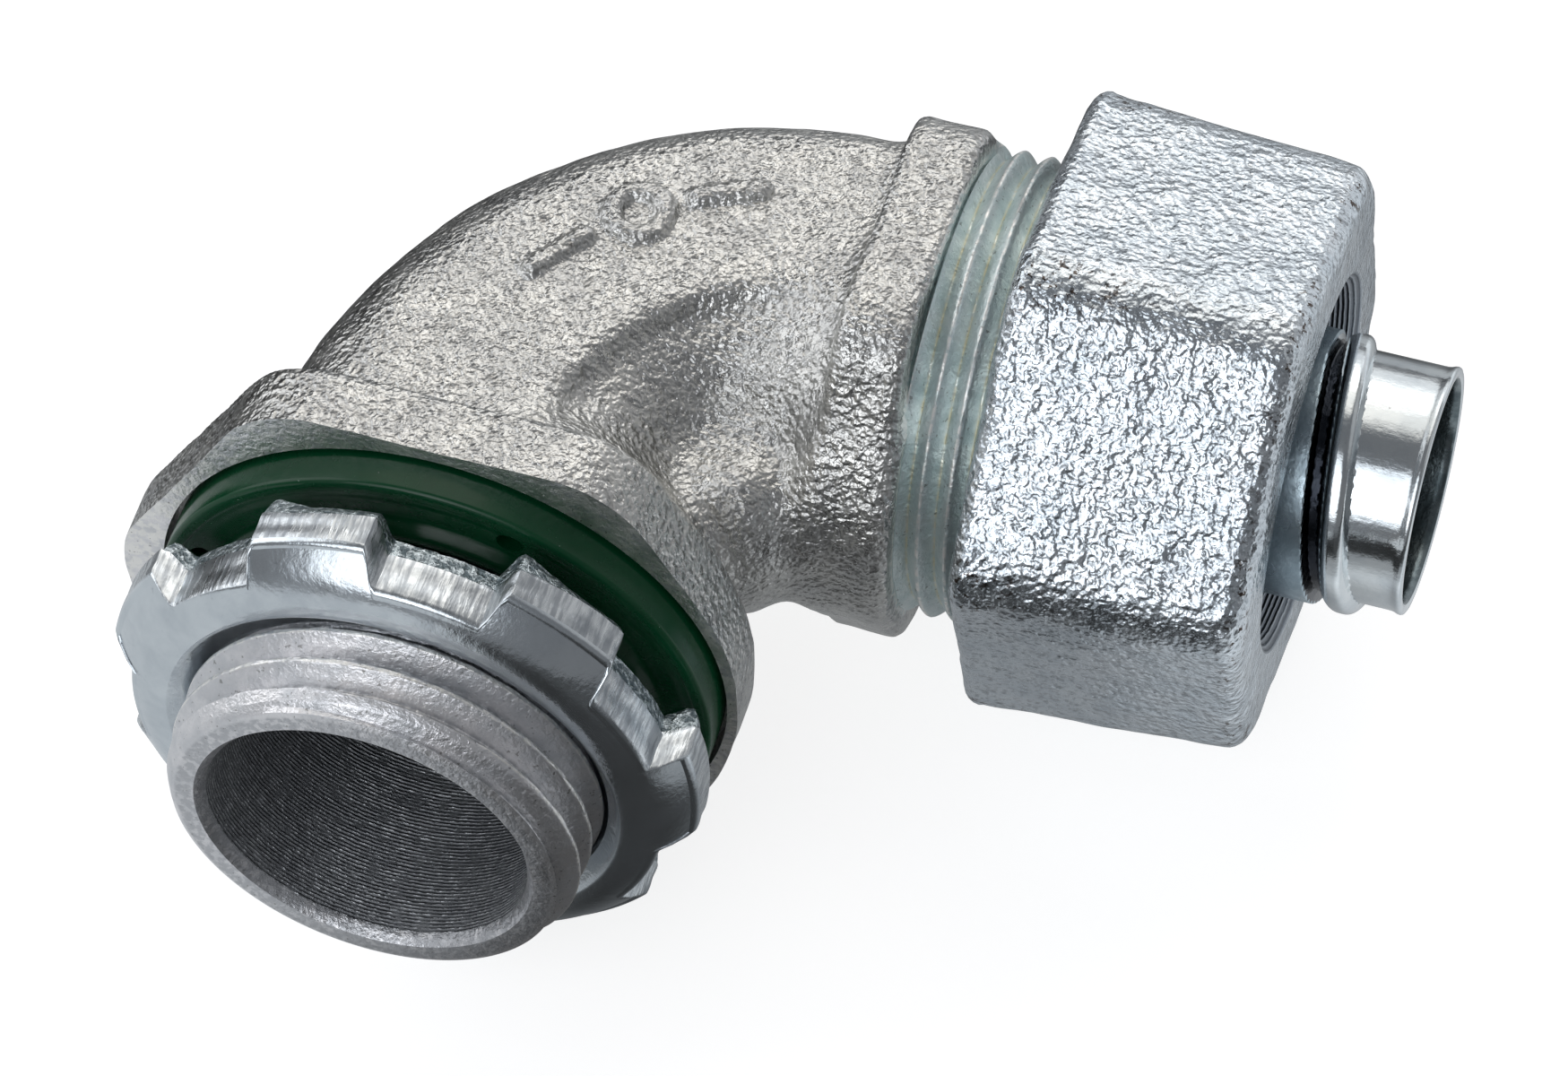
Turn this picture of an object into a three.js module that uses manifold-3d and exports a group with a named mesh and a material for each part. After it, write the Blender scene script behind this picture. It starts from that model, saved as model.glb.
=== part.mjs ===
// A 90 degree liquid-tight conduit connector, in millimetres, +Z up. It lies on its side: the threaded hub
// runs along -Y with a sealing gasket and a locknut on it, and the gland end runs along +X with a gland nut,
// a compression ring and a ferrule. Both axes cross at the working origin, and the whole object is moved at
// the end so that its frame's origin is the centre of the bottom of its box.
import * as THREE from 'three';
import { mergeVertices } from 'three/addons/utils/BufferGeometryUtils.js';
import Module from 'manifold-3d';

const wasm = await Module();
wasm.setup();

// ---------- driving dimensions ----------
const TURN = 2 * Math.PI;
const FIT_GAP = 0.3;             // clearance between pieces that touch

const BEND_RADIUS = 15;          // from the bend's centre to the axis of the bore
const BORE_RADIUS = 8.15;        // the hub's drilled bore
const PASSAGE_RADIUS = 6.4;      // the cast passage through the bend
const BACK_OFFSET = 9.5;         // from the bore's axis to the outside of the bend
const CHEEK_OFFSET = 8.6;        // from the bore's axis to each flat cheek
const CHEEK_CORNER = 3.3;        // rounding between a cheek and the back of the bend
const THROAT_RADIUS = 8.5;       // the round inner side of the bend
const CHEEK_EDGE_FROM = 1.88;    // angles from the back of the bend between which the cheek steps down
const CHEEK_EDGE_TO = 2.09;
const THROAT_FLARE = 4.2;        // length of the fillet from the throat up to each collar

const HUB_LENGTH = 34.9;         // from the crossing of the axes to the hub's mouth
const HUB_CREST = 10.5;
const HUB_PITCH = 1.814;         // 14 threads to the inch
const HUB_THREAD_END = 21.6;
const HUB_COLLAR = { front: 22.5, back: 19.0, flat: 15.4, corner: 16.8, throatCut: 15.2 };
const RECESS_FLOOR = 20.3;       // the gasket's seat in the hub collar

// The web that fills the throat of the bend between the two collars: an ellipsoid.
const WEB = { x: 12.4, y: -12.8, across: 4.6, halfHeight: 7 };

const GLAND_CREST = 11.9;
const GLAND_PITCH = 1.411;       // 18 threads to the inch
const GLAND_LENGTH = 28.2;
const GLAND_COLLAR = { front: 18.9, back: 15.3, flat: 12.5, corner: 13.3, throatCut: 13.3 };

const GASKET = { radius: 14.2, front: 24.3, back: 21.5, hole: 10.85 };
const LOCKNUT = { rim: 15.1, notch: 13.6, lugs: 7, front: 30.5, lugTip: 25.4, back: 27.8, mouth: 11.6 };

const NUT = { start: 23.3, end: 37.9, corner: 16.1, flat: 14.15, opening: 9.2, lip: 35.3, draft: 0.052 };
const NUT_CORNER_ANGLE = TURN / 8;   // the first corner's angle from +Y towards +Z
const NUT_CAVITY_RADIUS = 11.4;
const RING = { inner: 9.1, outer: 11.0, nose: 9.9, back: 31.4, front: 34.9 };
const FERRULE = { flangeRadius: 10.2, seat: GLAND_LENGTH + FIT_GAP, mouth: 44.1, tube: 6.2, bore: 5.65,
  shank: 6.8, groove: 38.2 };
// The ferrule's rolled bead: a ridge that climbs round the tube like one turn of a coarse thread.
const BEAD = { radius: 7.05, halfWidth: 0.95, start: 38.55, pitch: 4.1 };

// ---------- helpers ----------
const smooth = (from, to, value) => THREE.MathUtils.smoothstep(value, from, to);
const mix = THREE.MathUtils.lerp;

// A regular polygon's radius at an angle, with its corners rounded off at the corner radius.
function polygonRadius(angle, sides, flat, corner, firstCorner = 0) {
  const sector = TURN / sides;
  const fromFlat = THREE.MathUtils.euclideanModulo(angle - firstCorner, sector) - sector / 2;
  return Math.min(flat / Math.cos(fromFlat), corner);
}

// A rounded crest-and-root wave along a right-hand helix.
function threadRadius(along, angle, crest, depth, pitch, phase) {
  return crest - depth * (0.5 - 0.5 * Math.cos(TURN * ((along - phase) / pitch - angle / TURN)));
}

// A lathe solid of a closed profile whose points are then placed one by one, so that a turned shape can be
// bent, threaded, faceted or drafted. Each row of the profile has radius, along and an optional shape.
function lathed(rows, segments, place, startAngle = 0) {
  const profile = rows.map((row) => new THREE.Vector2(row.radius, row.along));
  profile.push(profile[0].clone());
  const geometry = new THREE.LatheGeometry(profile, segments);
  const position = geometry.getAttribute('position');
  for (let i = 0; i < position.count; i++) {
    const row = rows[(i % profile.length) % rows.length];
    const angle = startAngle + (Math.floor(i / profile.length) % segments) / segments * TURN;
    const radius = row.shape ? row.shape(angle, row.along) : row.radius;
    const along = row.slide ? row.along + row.slide(angle) : row.along;
    position.setXYZ(i, ...place(radius, angle, along));
  }
  geometry.deleteAttribute('normal');
  geometry.deleteAttribute('uv');
  return facingOut(mergeVertices(geometry, 1e-4));
}

// Turns every face round if the closed surface encloses a negative volume.
function facingOut(geometry) {
  const position = geometry.getAttribute('position');
  const index = geometry.getIndex();
  const [a, b, c] = [new THREE.Vector3(), new THREE.Vector3(), new THREE.Vector3()];
  const kept = [];
  let volume = 0;
  for (let i = 0; i < index.count; i += 3) {
    const corners = [index.getX(i), index.getX(i + 1), index.getX(i + 2)];
    if (new Set(corners).size < 3) continue;
    a.fromBufferAttribute(position, corners[0]);
    b.fromBufferAttribute(position, corners[1]);
    c.fromBufferAttribute(position, corners[2]);
    volume += a.dot(b.cross(c)) / 6;
    kept.push(corners);
  }
  geometry.setIndex(kept.flatMap(([p, q, r]) => (volume < 0 ? [p, r, q] : [p, q, r])));
  geometry.computeVertexNormals();
  return geometry;
}

// The union of two closed geometries.
function joined(first, second) {
  const [solid, added] = [first, second].map((geometry) => new wasm.Manifold(new wasm.Mesh({
    numProp: 3,
    vertProperties: new Float32Array(geometry.getAttribute('position').array),
    triVerts: new Uint32Array(geometry.getIndex().array),
  })));
  const mesh = solid.add(added).getMesh();
  const geometry = new THREE.BufferGeometry();
  geometry.setAttribute('position', new THREE.BufferAttribute(mesh.vertProperties, 3));
  geometry.setIndex(new THREE.BufferAttribute(mesh.triVerts, 1));
  geometry.computeVertexNormals();
  return geometry;
}

function evenly(from, to, steps) {
  return Array.from({ length: steps + 1 }, (_, i) => mix(from, to, i / steps));
}

function named(name, geometry, color, roughness, metalness) {
  const mesh = new THREE.Mesh(geometry, new THREE.MeshStandardMaterial({ color, roughness, metalness }));
  mesh.name = name;
  return mesh;
}

// Angles are measured from the back of the bend towards +Z. On the gland end that is from +Y towards +Z.
const aroundX = (radius, angle, along) => [along, radius * Math.cos(angle), radius * Math.sin(angle)];
const aroundHub = (radius, angle, along) => [-radius * Math.cos(angle), along, radius * Math.sin(angle)];

// ---------- elbow body ----------
const BEND_START = -BEND_RADIUS;                        // stations along the bore's curved axis
const BEND_END = BEND_START + BEND_RADIUS * TURN / 4;
const glandStation = (x) => BEND_END + x - BEND_RADIUS;

function alongElbow(radius, angle, station) {
  const bend = THREE.MathUtils.clamp((station - BEND_START) / BEND_RADIUS, 0, TURN / 4);
  const outward = BEND_RADIUS + radius * Math.cos(angle);
  const past = station - THREE.MathUtils.clamp(station, BEND_START, BEND_END);
  return [
    BEND_RADIUS - outward * Math.cos(bend) + past * Math.sin(bend),
    -BEND_RADIUS + outward * Math.sin(bend) + past * Math.cos(bend),
    radius * Math.sin(angle),
  ];
}

const fromBack = (angle) => Math.abs(THREE.MathUtils.euclideanModulo(angle + Math.PI, TURN) - Math.PI);

// The casting's section: flat cheeks and a flat back with rounded corners outside, round on the inside,
// where it flares up to the collar at each end.
function castSection(angle, station) {
  const side = fromBack(angle);
  const [across, up] = [Math.cos(side), Math.sin(side)];
  let outer = Math.min(across > 0 ? BACK_OFFSET / across : Infinity, CHEEK_OFFSET / up);
  if (across > 0) {
    const [cx, cy] = [BACK_OFFSET - CHEEK_CORNER, CHEEK_OFFSET - CHEEK_CORNER];
    const reach = across * cx + up * cy;
    const corner = reach + Math.sqrt(reach * reach - cx * cx - cy * cy + CHEEK_CORNER * CHEEK_CORNER);
    const inCorner = across * corner > cx && up * corner > cy;
    if (inCorner) outer = corner;
  }
  const toHub = Math.max(0, 1 - (station + HUB_COLLAR.back) / THROAT_FLARE);
  const toGland = Math.max(0, 1 - (glandStation(GLAND_COLLAR.back) - station) / THROAT_FLARE);
  const throat = THROAT_RADIUS + 4.4 * toHub ** 2 + 3.2 * toGland ** 2;
  return mix(outer, throat, smooth(CHEEK_EDGE_FROM, CHEEK_EDGE_TO, side));
}

// A hexagonal collar with rounded corners, cut flat on the side that faces the throat of the bend.
function collarShape(collar, inset = 0) {
  return (angle) => {
    const towardsThroat = Math.max(0.1, -Math.cos(angle));
    return Math.min(polygonRadius(angle, 6, collar.flat, collar.corner), collar.throatCut / towardsThroat) - inset;
  };
}

function throatWeb() {
  const web = new THREE.SphereGeometry(1, 16, 12).scale(WEB.across, WEB.across, WEB.halfHeight);
  web.translate(WEB.x, WEB.y, 0);
  web.deleteAttribute('normal');
  web.deleteAttribute('uv');
  return facingOut(mergeVertices(web, 1e-4));
}

function elbowBody() {
  const hubMouth = -HUB_LENGTH;
  const hubThread = (angle, along) => Math.min(
    threadRadius(along, angle, HUB_CREST, 1.1, HUB_PITCH, -33.38 - HUB_PITCH / 2),
    9.75 + 0.7 * (along - hubMouth));
  const glandEnd = glandStation(GLAND_LENGTH);
  const glandPhase = glandStation(20.37 - GLAND_PITCH * 34.4 / 360);
  const glandThread = (angle, along) => Math.min(
    threadRadius(along, angle, GLAND_CREST, 0.76, GLAND_PITCH, glandPhase),
    11.0 + 0.7 * (glandEnd - along));
  const flare = (collar) => (angle, along) =>
    mix(castSection(angle, along), collarShape(collar, 0.6)(angle), 0.4);
  const row = (along, shape, radius = 10) => ({ along, radius, shape });
  const round = (along, radius) => ({ along, radius });

  const hubCollarBack = -HUB_COLLAR.back;
  const glandCollarBack = glandStation(GLAND_COLLAR.back);
  const glandCollarFront = glandStation(GLAND_COLLAR.front);
  const outside = [
    round(hubMouth, 8.6),
    round(hubMouth, 9.75),
    ...evenly(hubMouth + 0.45, -HUB_THREAD_END, 30).map((along) => row(along, hubThread)),
    round(-HUB_THREAD_END + 0.3, 9.4),
    round(-RECESS_FLOOR, 9.4),
    round(-RECESS_FLOOR, GASKET.radius + FIT_GAP),
    round(-HUB_COLLAR.front, GASKET.radius + FIT_GAP),
    row(-HUB_COLLAR.front, collarShape(HUB_COLLAR, 0.35), 15.5),
    row(-HUB_COLLAR.front + 0.4, collarShape(HUB_COLLAR), 16),
    row(hubCollarBack - 0.6, collarShape(HUB_COLLAR), 16),
    row(hubCollarBack, collarShape(HUB_COLLAR, 0.6), 16),
    row(hubCollarBack + 0.5, flare(HUB_COLLAR)),
    ...evenly(hubCollarBack + 1.5, glandCollarBack - 1.2, 14).map((along) => row(along, castSection)),
    row(glandCollarBack - 0.3, flare(GLAND_COLLAR)),
    row(glandCollarBack + 0.2, collarShape(GLAND_COLLAR, 0.5), 13),
    row(glandCollarBack + 0.7, collarShape(GLAND_COLLAR), 13),
    row(glandCollarFront - 0.5, collarShape(GLAND_COLLAR), 13),
    row(glandCollarFront, collarShape(GLAND_COLLAR, 0.6), 12.5),
    round(glandCollarFront + 0.1, 11.3),
    ...evenly(glandCollarFront + 0.45, glandEnd - 0.3, 26).map((along) => row(along, glandThread)),
    round(glandEnd, 11.0),
    round(glandEnd, PASSAGE_RADIUS + 1.2),
  ];
  const bore = [
    round(glandEnd - 1.2, PASSAGE_RADIUS),
    ...evenly(BEND_END + 1, BEND_START, 9).map((along) => round(along, PASSAGE_RADIUS)),
    round(BEND_START - 2, PASSAGE_RADIUS),
    round(BEND_START - 3.5, BORE_RADIUS),
    round(hubMouth + 0.45, BORE_RADIUS),
  ];
  return joined(lathed([...outside, ...bore], 36, alongElbow), throatWeb());
}

// ---------- panel side ----------
function panelGasket() {
  const { radius, front, back, hole } = GASKET;
  return lathed([
    { radius, along: -back }, { radius, along: -front + 0.5 },
    { radius: radius - 0.2, along: -front }, { radius: radius - 0.9, along: -front },
    { radius: radius - 1.2, along: -front + 0.2 }, { radius: radius - 1.7, along: -front + 1.2 },
    { radius: hole + 0.6, along: -front + 1.5 }, { radius: hole, along: -front + 1.2 },
    { radius: hole, along: -back },
  ], 40, aroundHub);
}

// 1 on a lug, 0 in the notch between two lugs.
function lugWeight(angle) {
  const place = THREE.MathUtils.euclideanModulo(angle * LOCKNUT.lugs / TURN, 1);
  return smooth(0.1, 0.25, place) * (1 - smooth(0.6, 0.85, place));
}

function locknut() {
  const { rim, notch, front, lugTip, back, mouth } = LOCKNUT;
  const lug = (low, high) => (angle) => mix(low, high, lugWeight(angle));
  const slide = (distance) => (angle) => distance * lugWeight(angle);
  const reach = back - lugTip;
  const thread = (angle, along) =>
    threadRadius(along, angle, HUB_CREST + 0.45, 0.9, HUB_PITCH, -33.38 - HUB_PITCH / 2);
  return lathed([
    { radius: mouth, along: -front }, { radius: 13.3, along: -front + 0.5 },
    { radius: 14, along: -29.4, shape: lug(notch, rim - 0.3) },
    { radius: 14, along: -29.0, shape: lug(notch, rim) },
    { radius: 14, along: -back, shape: lug(notch - 0.2, rim), slide: slide(reach) },
    { radius: 13.5, along: -back, shape: lug(notch - 0.5, rim - 1.3), slide: slide(reach) },
    { radius: 13.0, along: -back, shape: lug(notch - 0.7, rim - 1.7) },
    { radius: 11.6, along: -back },
    ...evenly(-back - 0.1, -front + 0.4, 5).map((along) => ({ radius: 10.5, along, shape: thread })),
  ], 70, aroundHub);
}

// ---------- gland side ----------
function glandNut() {
  const { start, end, corner, flat, opening, lip, draft } = NUT;
  const hexagon = (inset) => (angle, along) => {
    const shrink = draft * (along - start);
    return polygonRadius(angle, 6, flat - shrink, corner - shrink, NUT_CORNER_ANGLE) - inset;
  };
  const thread = (angle, along) => threadRadius(along, angle, GLAND_CREST + 0.3, 0.76, GLAND_PITCH,
    20.37 - GLAND_PITCH * 34.4 / 360);
  return lathed([
    { radius: 12.6, along: start }, { radius: 15, along: start, shape: hexagon(1.0) },
    { radius: 16, along: start + 0.7, shape: hexagon(0) }, { radius: 16, along: 30, shape: hexagon(0) },
    { radius: 16, along: end - 1.0, shape: hexagon(0) }, { radius: 15, along: end - 0.25, shape: hexagon(0.6) },
    { radius: 14, along: end, shape: hexagon(1.5) }, { radius: opening + 0.5, along: end },
    { radius: opening, along: end - 0.5 }, { radius: opening, along: lip },
    { radius: NUT_CAVITY_RADIUS, along: 33.6 }, { radius: NUT_CAVITY_RADIUS, along: 30.0 },
    ...evenly(29.8, start + 0.8, 16).map((along) => ({ radius: 11.8, along, shape: thread })),
    { radius: 12.4, along: start + 0.4 },
  ], 48, aroundX, NUT_CORNER_ANGLE);
}

function compressionRing() {
  const { inner, outer, nose, back, front } = RING;
  return lathed([
    { radius: inner, along: back }, { radius: outer - 0.3, along: back }, { radius: outer, along: back + 0.4 },
    { radius: outer, along: back + 1.8 }, { radius: nose, along: front - 0.3 },
    { radius: nose - 0.3, along: front }, { radius: inner, along: front },
  ], 40, aroundX);
}

function ferrule() {
  const { flangeRadius, seat, mouth, tube, bore, shank, groove } = FERRULE;
  const ridge = (angle, along) => {
    const turns = angle / TURN;
    const fromCrest = Math.abs(along - BEAD.start - BEAD.pitch * turns) / BEAD.halfWidth;
    const height = smooth(0.03, 0.13, turns) * (1 - smooth(0.78, 0.92, turns));
    return mix(BEAD.radius, tube, 1 - height * (1 - smooth(0, 1, fromCrest)));
  };
  const ring = (along, radius, shape) => ({ along, radius, shape });
  return lathed([
    ring(seat, bore + 0.2), ring(seat, flangeRadius), ring(seat + 1, flangeRadius),
    ring(seat + 1, shank + 0.4), ring(seat + 1.4, shank), ring(groove - 0.3, shank),
    ring(groove, tube),
    ...evenly(groove + 0.2, mouth - 1, 13).map((along) => ring(along, tube + 0.4, ridge)),
    ring(mouth - 0.7, tube), ring(mouth - 0.35, tube + 0.15), ring(mouth, tube),
    ring(mouth, bore + 0.15), ring(mouth - 0.5, bore),
  ], 36, aroundX);
}

// ---------- the object ----------
const group = new THREE.Group();
group.add(
  named('elbow_body', elbowBody(), 0x9a9a98, 0.55, 0.9),
  named('panel_gasket', panelGasket(), 0x14502d, 0.35, 0.0),
  named('locknut', locknut(), 0xb4bcc2, 0.3, 1.0),
  named('gland_nut', glandNut(), 0xa8b2ba, 0.4, 0.95),
  named('compression_ring', compressionRing(), 0x1b1c1e, 0.5, 0.0),
  named('ferrule', ferrule(), 0xc4c8ca, 0.15, 1.0),
);

const box = new THREE.Box3().setFromObject(group);
const centre = box.getCenter(new THREE.Vector3());
group.position.set(-centre.x, -centre.y, -box.min.z);

export default group;
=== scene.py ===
"""A 90 degree liquid-tight conduit connector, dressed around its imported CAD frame.

Shapes are worked out in millimetres from the crossing of the hub's axis (-Y) and the gland's axis (+X), which
comes from the frame, and become metres in the frame's own axes as each mesh is made.
"""
from itertools import product

import bpy
import numpy as np
import openvdb
from mathutils import Matrix, Vector


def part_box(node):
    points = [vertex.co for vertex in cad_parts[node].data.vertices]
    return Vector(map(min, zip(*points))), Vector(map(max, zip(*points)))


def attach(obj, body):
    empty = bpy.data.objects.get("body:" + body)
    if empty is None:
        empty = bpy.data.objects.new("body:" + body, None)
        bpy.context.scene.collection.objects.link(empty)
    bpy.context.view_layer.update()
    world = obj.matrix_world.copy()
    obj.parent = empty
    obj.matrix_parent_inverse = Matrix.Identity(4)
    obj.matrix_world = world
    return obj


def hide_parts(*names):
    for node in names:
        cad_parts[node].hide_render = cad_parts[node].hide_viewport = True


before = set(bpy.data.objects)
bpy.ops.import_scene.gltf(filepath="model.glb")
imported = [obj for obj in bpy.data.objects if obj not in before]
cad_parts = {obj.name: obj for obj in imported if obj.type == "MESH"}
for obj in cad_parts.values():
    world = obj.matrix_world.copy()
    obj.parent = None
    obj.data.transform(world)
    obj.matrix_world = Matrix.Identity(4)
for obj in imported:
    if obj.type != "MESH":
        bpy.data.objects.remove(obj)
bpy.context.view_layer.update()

# ---------- places taken from the frame ----------
MM = 0.001
gasket_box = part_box("panel_gasket")
ferrule_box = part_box("ferrule")
body_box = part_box("elbow_body")
nut_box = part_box("gland_nut")
locknut_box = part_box("locknut")
CROSSING = np.array([
    (gasket_box[0].x + gasket_box[1].x) / 2,
    (ferrule_box[0].y + ferrule_box[1].y) / 2,
    (ferrule_box[0].z + ferrule_box[1].z) / 2,
])
HUB_MOUTH = (body_box[0].y - CROSSING[1]) / MM
GLAND_END = (body_box[1].x - CROSSING[0]) / MM
NUT_START = (nut_box[0].x - CROSSING[0]) / MM
NUT_END = (nut_box[1].x - CROSSING[0]) / MM
FERRULE_SEAT = (ferrule_box[0].x - CROSSING[0]) / MM
FERRULE_MOUTH = (ferrule_box[1].x - CROSSING[0]) / MM
GASKET_FRONT = (gasket_box[0].y - CROSSING[1]) / MM
GASKET_BACK = (gasket_box[1].y - CROSSING[1]) / MM
GASKET_RADIUS = (gasket_box[1].x - gasket_box[0].x) / 2 / MM
LOCKNUT_FRONT = (locknut_box[0].y - CROSSING[1]) / MM
LOCKNUT_TIPS = (locknut_box[1].y - CROSSING[1]) / MM
LOCKNUT_RIM = (locknut_box[1].z - locknut_box[0].z) / 2 / MM

# ---------- driving dimensions, in millimetres ----------
TURN = 2 * np.pi
BEND = 15.0                # radius of the bore's curved axis
COLLAR_FACE = -22.5        # machined front of the hub collar
RECESS_FLOOR = -20.3       # the gasket's seat in that collar
RECESS_RADIUS = GASKET_RADIUS + 0.3
HUB_CREST, HUB_DEPTH, HUB_PITCH = 10.5, 1.1, 1.814
HUB_PHASE = -33.38 - HUB_PITCH / 2
GLAND_CREST, GLAND_DEPTH, GLAND_PITCH = 11.9, 0.76, 1.411
GLAND_PHASE = 20.37 - GLAND_PITCH * 34.4 / 360
NUT_CORNER = TURN / 8      # the nut's first corner, from +Y towards +Z
NUT_FLAT = 14.15           # from its axis to a flat, at the back
NUT_DRAFT = 0.052          # how much the flats close in for each millimetre forward
NUT_ROUNDING = 3.6         # radius of its corners
NUT_THREAD_CREST = GLAND_CREST + 0.32
CHEEK = 8.6                # from the bend's middle plane to its flat cheeks
LUGS = 7
BEAD_START = 38.0          # where the ferrule's plain shank ends
BORE_RADIUS = 6.4          # the cast passage round the bend


# ---------- small helpers ----------
def smooth(low, high, value):
    t = np.clip((value - low) / (high - low), 0, 1)
    return t * t * (3 - 2 * t)


def mix(a, b, t):
    return a + (b - a) * t


def soft_min(a, b, reach):
    """The smaller of two distances, filleted where they are close."""
    near = np.maximum(reach - np.abs(a - b), 0) / reach
    return np.minimum(a, b) - near * near * reach / 4


def soft_max(a, b, reach):
    return -soft_min(-a, -b, reach)


LATTICE = np.random.default_rng(11).uniform(-1, 1, (32, 32, 32)).astype(np.float32)


def noise(points, wavelength, shift=0.0):
    """Smooth noise from -1 to 1, repeating every 32 wavelengths."""
    place = points / wavelength + shift
    cell = np.floor(place).astype(int)
    t = place - cell
    t = t * t * (3 - 2 * t)
    total = np.zeros(len(points), np.float32)
    for corner in product((0, 1), repeat=3):
        at = (cell + corner) % 32
        weight = np.prod(np.where(np.array(corner) == 1, t, 1 - t), axis=1)
        total += weight * LATTICE[at[:, 0], at[:, 1], at[:, 2]]
    return total


def around_hub(radius, angle, along):
    """Angles go from the back of the bend (-X) towards +Z."""
    return np.stack(np.broadcast_arrays(-radius * np.cos(angle), along, radius * np.sin(angle)), -1)


def around_gland(radius, angle, along):
    """Angles go from +Y towards +Z."""
    return np.stack(np.broadcast_arrays(along, radius * np.cos(angle), radius * np.sin(angle)), -1)


def object_from(name, points, polygons):
    """An object from points in millimetres and arrays of quads and triangles, all turned to face outwards."""
    mesh = bpy.data.meshes.new(name)
    volume = 0.0
    for faces in polygons:
        for k in range(1, faces.shape[1] - 1):
            a, b, c = points[faces[:, 0]], points[faces[:, k]], points[faces[:, k + 1]]
            volume += np.einsum("ij,ij->i", a, np.cross(b, c)).sum()
    polygons = [faces[:, ::-1] if volume < 0 else faces for faces in polygons]
    sizes = np.concatenate([np.full(len(faces), faces.shape[1]) for faces in polygons])
    corners = np.concatenate([faces.ravel() for faces in polygons])
    mesh.vertices.add(len(points))
    mesh.vertices.foreach_set("co", (points * MM + CROSSING).astype(np.float32).ravel())
    mesh.loops.add(len(corners))
    mesh.loops.foreach_set("vertex_index", corners.astype(np.int32))
    mesh.polygons.add(len(sizes))
    mesh.polygons.foreach_set("loop_start", (np.cumsum(sizes) - sizes).astype(np.int32))
    mesh.update(calc_edges=True)
    mesh.validate()
    made = bpy.data.objects.new(name, mesh)
    bpy.context.scene.collection.objects.link(made)
    return made


def grid_quads(rows, columns, closed_rows=True):
    """Quads of a grid that closes round its columns, and round its rows too unless told otherwise."""
    row_count = rows if closed_rows else rows - 1
    r, c = np.meshgrid(np.arange(row_count), np.arange(columns), indexing="ij")
    r2, c2 = (r + 1) % rows, (c + 1) % columns
    corners = [r * columns + c, r * columns + c2, r2 * columns + c2, r2 * columns + c]
    return np.stack(corners, -1).reshape(-1, 4)


def angles_round(segments):
    return np.arange(segments) / segments * TURN


def rows_grid(rows, segments, place):
    """Points [rows, segments, 3] from rows of (radius, along), each a number or one for each segment."""
    radius, along = [np.array([np.broadcast_to(row[i], segments) for row in rows]) for i in (0, 1)]
    return place(radius, angles_round(segments), along)


def ring_grid(rows, segments, place):
    """The points and quads of a closed ring, from the rows of its closed profile."""
    return rows_grid(rows, segments, place).reshape(-1, 3), grid_quads(len(rows), segments)


def solid_grid(points, name):
    """A solid from a [rows, segments, 3] grid of points whose first and last rows are capped."""
    rows, columns = points.shape[:2]
    flat = np.concatenate([points.reshape(-1, 3), points[:1].mean(1), points[-1:].mean(1)])
    c = np.arange(columns)
    c2 = (c + 1) % columns
    first = np.stack([np.full(columns, rows * columns), c2, c], -1)
    last_row = (rows - 1) * columns
    last = np.stack([np.full(columns, rows * columns + 1), last_row + c, last_row + c2], -1)
    return object_from(name, flat, [grid_quads(rows, columns, False), np.concatenate([first, last])])


def combine(target, tool, operation):
    """Joins or cuts target with tool, and removes tool."""
    modifier = target.modifiers.new("combine", "BOOLEAN")
    modifier.operation = operation
    modifier.solver = "MANIFOLD"
    modifier.object = tool
    evaluated = target.evaluated_get(bpy.context.evaluated_depsgraph_get())
    result = bpy.data.meshes.new_from_object(evaluated)
    result.materials.clear()
    target.modifiers.clear()
    target.data = result
    bpy.data.objects.remove(tool)


def face_arrays(made):
    """Face centres in millimetres from the crossing, and face normals."""
    mesh = made.data
    centres = np.zeros(len(mesh.polygons) * 3)
    normals = np.zeros(len(mesh.polygons) * 3)
    mesh.polygons.foreach_get("center", centres)
    mesh.polygons.foreach_get("normal", normals)
    return (centres.reshape(-1, 3) - CROSSING) / MM, normals.reshape(-1, 3)


def finish_mesh(made, node, material_of_face=None, crease=40):
    """Smooth shading with creases, the piece's materials by face, and its place in the model."""
    mesh = made.data
    mesh.polygons.foreach_set("use_smooth", np.ones(len(mesh.polygons), bool))
    mesh.set_sharp_from_angle(angle=np.radians(crease))
    if material_of_face is not None:
        mesh.polygons.foreach_set("material_index", material_of_face.astype(np.int32))
    mesh.update()
    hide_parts(node)
    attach(made, node)


def from_crest(along, angle, pitch, phase):
    """How far from the nearest crest of a right-hand thread: 0 on it, 1 at the root."""
    turn = (along - phase) / pitch - angle / TURN
    return np.abs(turn - np.round(turn)) * 2


def thread(along, angle, crest, depth, pitch, phase):
    """Radius of a right-hand V thread with a narrow flat crest and root."""
    crest_flat, root_flat = 0.12, 0.08
    fall = (from_crest(along, angle, pitch, phase) - crest_flat) / (1 - crest_flat - root_flat)
    return crest - depth * np.clip(fall, 0, 1)


def hexagon_distance(a, b, apothem, rounding):
    """Distance from a hexagon with rounded corners; its corners lie along a and its flats across b."""
    a, b = np.abs(a), np.abs(b)
    inner = apothem - rounding
    lean = 2 * np.minimum(-np.sqrt(0.75) * a + 0.5 * b, 0)
    a, b = a + lean * np.sqrt(0.75), b - lean * 0.5
    a = a - np.clip(a, -inner / np.sqrt(3), inner / np.sqrt(3))
    b = b - inner
    return np.hypot(a, b) * np.sign(b) - rounding


def rounded_corner(a, b, rounding):
    """Distance from a corner whose edge is rounded, from each side's own distance plus the rounding."""
    outside = np.hypot(np.maximum(a, 0), np.maximum(b, 0))
    return outside + np.minimum(np.maximum(a, b), 0) - rounding


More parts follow.
